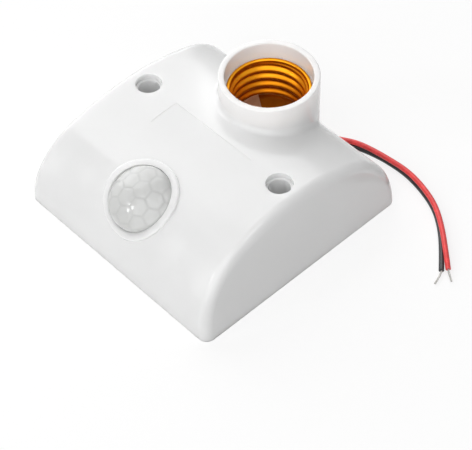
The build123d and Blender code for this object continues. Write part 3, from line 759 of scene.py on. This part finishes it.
def dress_nodes(*slots):
    """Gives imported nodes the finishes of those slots."""
    for slot in slots:
        for name in node_finishes[slot]:
            coat(frame["nodes"][name], finish(slot))


# Operators, one for each piece or group of like pieces

class HOLDER_OT_dress_housing(Operator):
    """Give the cover and the back plate their moulded white plastic"""

    bl_idname = "lamp_holder.dress_housing"
    bl_label = "Dress housing"

    def execute(self, context):
        dress_nodes("cover_plastic", "plate_plastic")
        return {"FINISHED"}


class HOLDER_OT_dress_board(Operator):
    """Give the circuit board and what it carries their finishes"""

    bl_idname = "lamp_holder.dress_board"
    bl_label = "Dress board"

    def execute(self, context):
        dress_nodes("sensor_can", "board", "film_box", "capacitor_sleeve", "black_resin",
                    "resistor_lacquer", "disc_lacquer", "cell_resin", "black_insulation",
                    "red_insulation", "white_insulation", "plated_steel")
        return {"FINISHED"}


def shell_profile(chosen):
    """Outline of the brass sheet from the cup's floor to the rolled lip and down again."""
    inner = thread_root
    outer = inner + chosen.wall
    floor, top = shell_low.z, shell_high.z
    step = chosen.skirt_step
    skirt = chosen.skirt_top
    bead = chosen.lip / 2
    bead_centre = (outer + chosen.lip_reach - bead, top - bead)
    throat = 0.6
    throat_centre = (inner + throat, top - throat)
    under = 0.3
    under_centre = (outer + under, top - chosen.lip - under)
    longest_run = 0.22
    points = [(inner - step, floor), (inner - step, skirt), (inner, skirt + step)]
    points += arc(throat_centre, throat, 180, 90, 6)
    points += arc(bead_centre, bead, 90, -90, 12)
    points += arc(under_centre, under, 90, 180, 4)
    points += [(outer, skirt + step - chosen.wall), (outer - step, skirt - chosen.wall),
               (outer - step, floor)]
    return fine(points, longest_run)


def tab_outline(chosen, side):
    """Corners of one tab on the floor of the cup, round where it meets the skirt."""
    skirt = thread_root - chosen.skirt_step
    half = chosen.tab_width / 2
    reach = math.degrees(math.asin(half / skirt))
    inside = skirt - chosen.tab_reach
    points = arc((0, 0), skirt, -reach, reach, 8) + [(inside, half), (inside, -half)]
    return [(side * x, y) for x, y in points]


class HOLDER_OT_make_shell(Operator):
    """Make the brass shell with its lamp thread, rolled lip and two tabs"""

    bl_idname = "lamp_holder.make_shell"
    bl_label = "Make shell"

    def execute(self, context):
        chosen = context.scene.lamp_holder.shell
        mesh = revolve(shell_profile(chosen), 224)
        for side in (-1, 1):
            rivet_hole = arc((side * chosen.rivet_reach, 0), chosen.rivet_hole, 0, 360, 24)[:-1]
            outlines = (tab_outline(chosen, side), rivet_hole)
            thicken(mesh, fill_outlines(mesh, shell_low.z, *outlines)[1], chosen.wall)
        shell = add_piece("brass_shell", mesh, sharp=60.0)
        above_skirt = -0.2
        below_lip = 1.1
        run_out = 1.2
        values = in_metres({
            "Pitch": chosen.pitch, "Depth": chosen.depth, "Crest height": chosen.crest_height,
            "Bottom": chosen.skirt_top + above_skirt, "Top": shell_high.z - below_lip,
            "Run-out": run_out})
        shape_with(shell, thread_tree(), Material=finish("brass"), **values)
        shell.data.transform(Matrix.Translation((0, socket_y * MM, 0)))
        stand_for(shell, "brass", "socket_shell")
        return {"FINISHED"}


def strip_spine(chosen):
    """Side view of the spring strip's lower face, from the foot's end to the tip."""
    rise = strip_high.z - strip_low.z - chosen.strip
    run = chosen.foot_start - chosen.slope_end
    slope = math.atan2(rise, run)
    bend = chosen.bend
    tangent = bend * math.tan(slope / 2)
    turn = math.degrees(slope)
    low_start = (-chosen.foot_start - tangent, bend)
    high_end = (-chosen.slope_end + tangent, rise - bend)
    points = [(-chosen.foot_end, 0.0)]
    points += arc(low_start, bend, -90, -90 + turn, 8)
    points += arc(high_end, bend, 90 + turn, 90, 8)
    points.append((chosen.tip, rise))
    return points


def along_spine(points, distance):
    """Place and direction on a line of points, that far from its start."""
    for start, end in zip(points, points[1:]):
        run = math.dist(start, end)
        if distance <= run or end == points[-1]:
            direction = Vector((end[0] - start[0], end[1] - start[1])).normalized()
            return Vector(start) + direction * distance, direction
        distance -= run


def flat_strip(chosen, length):
    """The spring strip before it is bent: it lies along X and its four corners are round."""
    corner = 1.2
    columns, rows = 96, 12
    mesh = bmesh.new()
    grid = []
    for column in range(columns + 1):
        along = length * column / columns
        end_gap = min(along, length - along)
        inset = corner - math.sqrt(max(corner ** 2 - (corner - min(end_gap, corner)) ** 2, 0.0))
        reach = chosen.width / 2 - inset
        grid.append([mesh.verts.new((along * MM, (2 * row / rows - 1) * reach * MM, 0))
                     for row in range(rows + 1)])
    for first, second in zip(grid, grid[1:]):
        for row in range(rows):
            mesh.faces.new((first[row], second[row], second[row + 1], first[row + 1]))
    thicken(mesh, list(mesh.faces), chosen.strip)
    return add_piece("spring_strip", mesh)


def cut_holes(piece, holes, thickness):
    """Cuts round holes through a flat strip that lies along X."""
    low, high = -thickness, 2 * thickness
    for along, radius in holes:
        side = [(0, low), (radius, low), (radius, high), (0, high)]
        cutter = add_piece("cutter", revolve(side, 40))
        cutter.data.transform(Matrix.Translation((along * MM, 0, 0)))
        cut = piece.modifiers.new("hole", "BOOLEAN")
        cut.operation = "DIFFERENCE"
        cut.solver = "EXACT"
        cut.object = cutter
        result = result_of(piece)
        piece.modifiers.remove(cut)
        piece.data = result
        bpy.data.objects.remove(cutter)


def bend_strip(strip, spine):
    """Lays the flat strip along its spine, below the socket's axis."""
    for vertex in strip.data.vertices:
        along, across, over = vertex.co / MM
        place, direction = along_spine(spine, along)
        point = place + Vector((-direction.y, direction.x)) * over
        vertex.co = Vector((across, socket_y - point.x, strip_low.z + point.y)) * MM
    mesh = bmesh.new()
    mesh.from_mesh(strip.data)
    bmesh.ops.remove_doubles(mesh, verts=mesh.verts, dist=0.000005)
    bmesh.ops.recalc_face_normals(mesh, faces=mesh.faces)
    mesh.to_mesh(strip.data)
    mesh.free()
    strip.data.set_sharp_from_angle(angle=math.radians(40))


class HOLDER_OT_make_contacts(Operator):
    """Make the centre contact's strip and give the other contacts and rivets their metal"""

    bl_idname = "lamp_holder.make_contacts"
    bl_label = "Make contacts"

    def execute(self, context):
        chosen = context.scene.lamp_holder.contact
        dress_nodes("brass", "bronze")
        spine = strip_spine(chosen)
        length = sum(math.dist(start, end) for start, end in zip(spine, spine[1:]))
        strip = flat_strip(chosen, length)
        holes = ((chosen.foot_end - chosen.rivet_reach, chosen.foot_hole),
                 (length - chosen.tip, chosen.button_hole))
        cut_holes(strip, holes, chosen.strip)
        bend_strip(strip, spine)
        coat(strip, finish("bronze"))
        stand_for(strip, "bronze", "contact_spring")
        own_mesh(strip)
        return {"FINISHED"}


def dome_outline(chosen, inset, steps):
    """Outline of the dome, or of its hollow, from the top to the foot of its shoulder."""
    corner = chosen.corner - inset
    crown = chosen.crown - inset
    reach = chosen.edge - inset - corner
    centre = (0.0, chosen.apex - chosen.crown)
    height = centre[1] + math.sqrt((crown - corner) ** 2 - reach ** 2)
    meet = math.degrees(math.atan2(height - centre[1], reach))
    top = arc(centre, crown, 90, meet, steps)
    shoulder = arc((reach, height), corner, meet, 0, steps // 2)
    return [(0.0, centre[1] + crown)] + top[1:] + shoulder[1:]


def lens_profile(chosen):
    """Outline of the lens in its own frame: dome, wall, flange and the hollow inside."""
    flange_top = -chosen.flange_depth
    low = flange_top - chosen.flange_wall
    points = dome_outline(chosen, 0.0, 100)
    points += fine([points[-1], (chosen.edge, flange_top)], 1.0)[1:]
    points += [(chosen.flange, flange_top), (chosen.flange, low), (chosen.edge - chosen.wall, low)]
    return points + dome_outline(chosen, chosen.wall, 24)[::-1]


class HOLDER_OT_make_lens(Operator):
    """Make the frosted lens with its moulded cells"""

    bl_idname = "lamp_holder.make_lens"
    bl_label = "Make lens"

    def execute(self, context):
        chosen = context.scene.lamp_holder.lens
        lens = add_piece("frosted_lens", revolve(lens_profile(chosen), 288), sharp=50.0)
        values = in_metres({name: getattr(chosen, name) for name in cell_inputs})
        shape_with(lens, cell_tree(), Material=finish("lens_plastic"), **values)
        seat = Matrix.Translation((0, -chosen.seat_y * MM, chosen.seat_z * MM))
        lens.data.transform(seat @ Matrix.Rotation(chosen.tilt, 4, "X"))
        stand_for(lens, "lens_plastic", "lens")
        return {"FINISHED"}


def cross_outline(chosen, share):
    """Corners of a cross, with its arms that share of their full size."""
    arm = chosen.arm * share
    half = chosen.slot / 2 * share
    corners = [Vector(corner) for corner in ((arm, -half), (arm, half), (half, half))]
    turns = [Matrix.Rotation(math.tau / 4 * quarter, 2) for quarter in range(4)]
    return [tuple(turn @ corner) for turn in turns for corner in corners]


def screw_mesh(chosen, length):
    """A countersunk screw that points up, with a cross cut into its flat head at height 0."""
    sides = 48
    rim = 0.25
    cone = chosen.head - chosen.shank + rim
    taper = 1.2
    tip = 0.15
    longest_run = 0.14
    floor_share = 0.45
    mesh = bmesh.new()
    head = arc((0, 0), chosen.head, 0, 360, sides)[:-1]
    cross = fill_outlines(mesh, 0, head, cross_outline(chosen, 1.0))[0][1]
    deep = [mesh.verts.new((x * MM, y * MM, chosen.recess * MM))
            for x, y in cross_outline(chosen, floor_share)]
    for i in range(len(cross)):
        mesh.faces.new((cross[i - 1], cross[i], deep[i], deep[i - 1]))
    mesh.faces.new(deep)
    side = fine([(chosen.head, 0), (chosen.head, rim), (chosen.shank, cone),
                 (chosen.shank, length - taper), (tip, length)], longest_run)
    revolve(side + [(0.0, length)], sides, mesh)
    bmesh.ops.remove_doubles(mesh, verts=mesh.verts, dist=0.00001)
    return mesh


class HOLDER_OT_make_screws(Operator):
    """Make the four cross-head screws that hold the back plate"""

    bl_idname = "lamp_holder.make_screws"
    bl_label = "Make screws"

    def execute(self, context):
        chosen = context.scene.lamp_holder.screws
        length = screws_high.z - screws_low.z
        pattern = add_piece("screw_pattern", screw_mesh(chosen, length), sharp=30.0)
        above_cone = 0.6
        below_tip = 0.4
        run_out = 0.6
        values = in_metres({
            "Pitch": chosen.thread_pitch, "Depth": -chosen.thread_depth, "Crest height": 0.0,
            "Bottom": chosen.head - chosen.shank + above_cone, "Top": length - below_tip,
            "Run-out": run_out})
        shape_with(pattern, thread_tree(), Material=finish("plated_steel"), **values)
        corner_x = screws_high.x - chosen.head
        corner_y = screws_high.y - chosen.head
        corners = [(x * MM, y * MM, screws_low.z * MM)
                   for x in (-corner_x, corner_x) for y in (-corner_y, corner_y)]
        points = bpy.data.meshes.new("screw_points")
        points.from_pydata(corners, [], [])
        screws = add_object("plate_screws", points)
        shape_with(screws, placing_tree(), Piece=pattern, Material=finish("plated_steel"),
                   **{"Turn seed": chosen.turn_seed})
        bpy.data.objects.remove(pattern)
        stand_for(screws, "plated_steel", "cover_screws")
        return {"FINISHED"}


# Points of the two wires, in metres
on_floor = 0.00097
black_route = tuple((x, y, on_floor) for x, y in (
    (-0.0110, 0.0425), (-0.0080, 0.0458), (-0.0031, 0.04705), (0.0038, 0.0477), (0.0114, 0.0481),
    (0.0180, 0.0520), (0.0246, 0.0540), (0.0312, 0.0551), (0.0400, 0.0554), (0.0492, 0.0536),
    (0.0576, 0.0505), (0.0650, 0.0452), (0.0715, 0.0388), (0.0774, 0.0321)))
red_route = (
    (-0.0110, 0.0425, 0.00297), (-0.0080, 0.0458, 0.00297), (-0.0032, 0.04715, 0.00293),
    (0.00375, 0.0479, 0.00291), (0.0113, 0.0482, 0.00291), (0.0175, 0.0522, 0.00291),
    (0.0235, 0.0538, 0.00291), (0.0310, 0.0548, 0.0029), (0.0402, 0.0555, 0.00293),
    (0.04924, 0.05374, 0.00297), (0.05765, 0.0506, 0.00297), (0.0652, 0.04543, 0.00295),
    (0.0722, 0.0395, 0.00287), (0.0790, 0.0336, 0.0018))
black_bare_route = (
    (0.0774, 0.0321, on_floor), (0.0783, 0.03108, on_floor), (0.0795, 0.0266, 0.0006))
red_bare_route = ((0.0790, 0.0336, 0.0018), (0.08002, 0.032715, 0.00164), (0.0828, 0.0312, 0.0007))


def add_line(name, route, radius):
    """A smooth line with the route's points as its control points."""
    curve = bpy.data.curves.new(name, "CURVE")
    curve.dimensions = "3D"
    curve.resolution_u = 10
    curve.bevel_depth = radius
    curve.bevel_resolution = 6
    curve.use_fill_caps = True
    spline = curve.splines.new("NURBS")
    spline.points.add(len(route) - 1)
    for point, place in zip(spline.points, route):
        point.co = (*place, 1.0)
    spline.order_u = 3
    spline.use_endpoint_u = True
    return add_object(name, curve)


def read_line(route):
    """Points of the smooth line that a route gives."""
    line = add_line("route", route, 0.0)
    mesh = result_of(line)
    points = [vertex.co.copy() for vertex in mesh.vertices]
    bpy.data.objects.remove(line)
    bpy.data.meshes.remove(mesh)
    return points


def line_length(points):
    """Length of a line of points."""
    return sum((end - start).length for start, end in zip(points, points[1:]))


def frames_along(points):
    """Each point of a line, with a level direction across it and one square to both."""
    for index, point in enumerate(points):
        before = points[max(index - 1, 0)]
        after = points[min(index + 1, len(points) - 1)]
        along = (after - before).normalized()
        side = along.cross(Vector((0, 0, 1))).normalized()
        yield point, side, side.cross(along).normalized()


def strand_points(points, reach, lay, start):
    """A strand that winds round a line of points."""
    wound = []
    walked = 0.0
    last = points[0]
    for point, side, lift in frames_along(points):
        walked += (point - last).length
        last = point
        angle = start + math.tau * walked / lay
        wound.append(point + (side * math.cos(angle) + lift * math.sin(angle)) * reach)
    return wound


def add_strands(name, route, chosen):
    """The bare end of a wire: tinned strands twisted round a middle one."""
    core = chosen.bare / 3 * MM / 2
    points = read_line(route)
    lines = [points] + [
        strand_points(points, 2 * core, chosen.lay * MM, math.tau * index / chosen.strands)
        for index in range(chosen.strands)]
    angles = [math.tau * corner / 8 for corner in range(8)]
    mesh = bmesh.new()
    for line in lines:
        rings = [[mesh.verts.new(point + (side * math.cos(angle) + lift * math.sin(angle)) * core)
                  for angle in angles] for point, side, lift in frames_along(line)]
        for first, second in zip(rings, rings[1:]):
            for k in range(len(angles)):
                mesh.faces.new((first[k - 1], first[k], second[k], second[k - 1]))
        mesh.faces.new(rings[0])
        mesh.faces.new(rings[-1])
    return add_piece(name, mesh, sharp=60.0)


class HOLDER_OT_lay_wires(Operator):
    """Lay the red and the black supply wire with their bare ends"""

    bl_idname = "lamp_holder.lay_wires"
    bl_label = "Lay wires"

    def execute(self, context):
        chosen = context.scene.lamp_holder.wires
        for colour, route, bare_route in (("black", black_route, black_bare_route),
                                          ("red", red_route, red_bare_route)):
            strands = add_strands(colour + "_strands", bare_route, chosen)
            coat(strands, finish("tinned_copper"))
            stand_for(strands, "tinned_copper", colour + "_wire_end")
            wire = add_line(colour + "_supply_wire", route, chosen.across / 2 * MM)
            wire.data.materials.append(finish(colour + "_insulation"))
            stand_for(wire, colour + "_insulation", colour + "_wire")
            line_length(read_line(route))
        return {"FINISHED"}


# Each lamp's setting, place and size, in metres
lamps = (
    ("key", (0.35, 0.05, 0.95), 0.18),
    ("left", (-0.9, 0.35, 0.65), 1.4),
    ("near_left", (-0.34, -0.86, 0.6), 0.16),
    ("top", (0.1, -0.05, 1.2), 1.2),
    ("near_right", (0.45, -0.8, 0.75), 1.6),
)
lamp_aim = (0.0, 0.0, 0.02)
camera_place = (0.298725, -0.260384, 0.449607)
camera_aim = (0.027236, -0.014224, 0.02)
camera_roll = math.radians(-1.523)
camera_length = 131.7
floor_half = 3.0
floor_height = -0.00002
floor_glow = 1.06


def turned_to(place, aim):
    """The turn of a lamp or camera that looks from a place at a point."""
    return (Vector(aim) - Vector(place)).to_track_quat("-Z", "Y")


def set_down(name, data, place, turn):
    """Puts a lamp or camera in its place."""
    made = add_object(name, data)
    made.location = place
    made.rotation_mode = "QUATERNION"
    made.rotation_quaternion = turn
    return made


def seen_directly(writer):
    """One for rays from the camera and for those that gloss or clear plastic sends on."""
    path = writer.node("ShaderNodeLightPath").outputs
    either = writer.sum("MAXIMUM", path["Is Camera Ray"], path["Is Glossy Ray"])
    return writer.sum("MAXIMUM", either, path["Is Transmission Ray"])


def floor_material(shadow):
    """A pale floor that looks white to the camera and keeps part of the shadow."""
    material = bpy.data.materials.new("pale_floor")
    material.use_nodes = True
    nodes = material.node_tree.nodes
    nodes.remove(nodes["Principled BSDF"])
    writer = NodeWriter(material.node_tree)
    matt = writer.node("ShaderNodeBsdfDiffuse", {"Color": (0.88, 0.88, 0.88, 1.0)})
    white = writer.node("ShaderNodeEmission",
                        {"Color": (1.0, 1.0, 1.0, 1.0), "Strength": floor_glow})
    share = writer.times(seen_directly(writer), 1.0 - shadow)
    mixed = writer.node("ShaderNodeMixShader", {0: share, 1: matt.outputs[0], 2: white.outputs[0]})
    writer.put(nodes["Material Output"].inputs["Surface"], mixed.outputs[0])
    return material


def lay_floor(shadow):
    """Lays the floor, a hair below the holder's back."""
    mesh = bpy.data.meshes.new("floor")
    corners = [(x * floor_half, y * floor_half, floor_height)
               for x, y in ((-1, -1), (1, -1), (1, 1), (-1, 1))]
    mesh.from_pydata(corners, [], [(0, 1, 2, 3)])
    floor = add_object("floor", mesh)
    coat(floor, floor_material(shadow))


def light_sky(scene, strength):
    """An even light from all sides that looks white wherever it is seen directly."""
    world = bpy.data.worlds.new("studio")
    world.use_nodes = True
    scene.world = world
    writer = NodeWriter(world.node_tree)
    background = world.node_tree.nodes["Background"].inputs
    writer.put(background["Color"], (1.0, 1.0, 1.0, 1.0))
    writer.put(background["Strength"],
               writer.ramp(seen_directly(writer), 0.0, 1.0, "LINEAR", strength, 1.0))


class HOLDER_OT_set_stage(Operator):
    """Set up the floor, the soft light and the camera"""

    bl_idname = "lamp_holder.set_stage"
    bl_label = "Set stage"

    def execute(self, context):
        scene = context.scene
        chosen = scene.lamp_holder.stage
        lay_floor(chosen.shadow)
        light_sky(scene, chosen.sky)
        for name, place, size in lamps:
            light = bpy.data.lights.new(name + "_lamp", "AREA")
            light.size = size
            light.energy = getattr(chosen, name)
            set_down(name + "_lamp", light, place, turned_to(place, lamp_aim))
        lens = bpy.data.cameras.new("photo_camera")
        lens.lens = camera_length
        lens.sensor_width = 36.0
        turn = turned_to(camera_place, camera_aim) @ Quaternion((0, 0, 1), camera_roll)
        scene.camera = set_down("photo_camera", lens, camera_place, turn)
        scene.view_settings.view_transform = "Standard"
        return {"FINISHED"}


class HOLDER_PT_panel(Panel):
    """Lists the settings and the steps that make the lamp holder"""

    bl_label = "Lamp holder"
    bl_idname = "HOLDER_PT_panel"
    bl_space_type = "VIEW_3D"
    bl_region_type = "UI"
    bl_category = "Lamp holder"

    def draw(self, context):
        chosen = context.scene.lamp_holder
        for group_name, operators in panel_rows:
            group = getattr(chosen, group_name)
            area = self.layout.box()
            for key in group.__annotations__:
                area.prop(group, key, text=key.replace("_", " ").capitalize())
            for operator in operators:
                area.operator(operator.bl_idname)


panel_rows = (
    ("housing", (HOLDER_OT_dress_housing, HOLDER_OT_dress_board)),
    ("shell", (HOLDER_OT_make_shell,)),
    ("contact", (HOLDER_OT_make_contacts,)),
    ("lens", (HOLDER_OT_make_lens,)),
    ("screws", (HOLDER_OT_make_screws,)),
    ("wires", (HOLDER_OT_lay_wires,)),
    ("stage", (HOLDER_OT_set_stage,)),
)

settings = (
    HousingSettings, ShellSettings, ContactSettings, LensSettings, ScrewSettings, WireSettings,
    StageSettings, HolderSettings,
)
steps = tuple(operator for _, operators in panel_rows for operator in operators)
classes = (*settings, *steps, HOLDER_PT_panel)


def register():
    """Registers the classes and hangs the settings on the scene."""
    for each in classes:
        bpy.utils.register_class(each)
    bpy.types.Scene.lamp_holder = PointerProperty(type=HolderSettings)


def unregister():
    """Takes the settings off the scene and the classes out again."""
    del bpy.types.Scene.lamp_holder
    for each in reversed(classes):
        bpy.utils.unregister_class(each)


def main():
    """Makes the lamp holder, step by step."""
    register()
    bpy.ops.lamp_holder.set_stage()
    bpy.ops.lamp_holder.lay_wires()
    bpy.ops.lamp_holder.dress_housing()
    bpy.ops.lamp_holder.dress_board()
    bpy.ops.lamp_holder.make_shell()
    bpy.ops.lamp_holder.make_contacts()
    bpy.ops.lamp_holder.make_lens()
    bpy.ops.lamp_holder.make_screws()


if __name__ == "__main__":
    main()
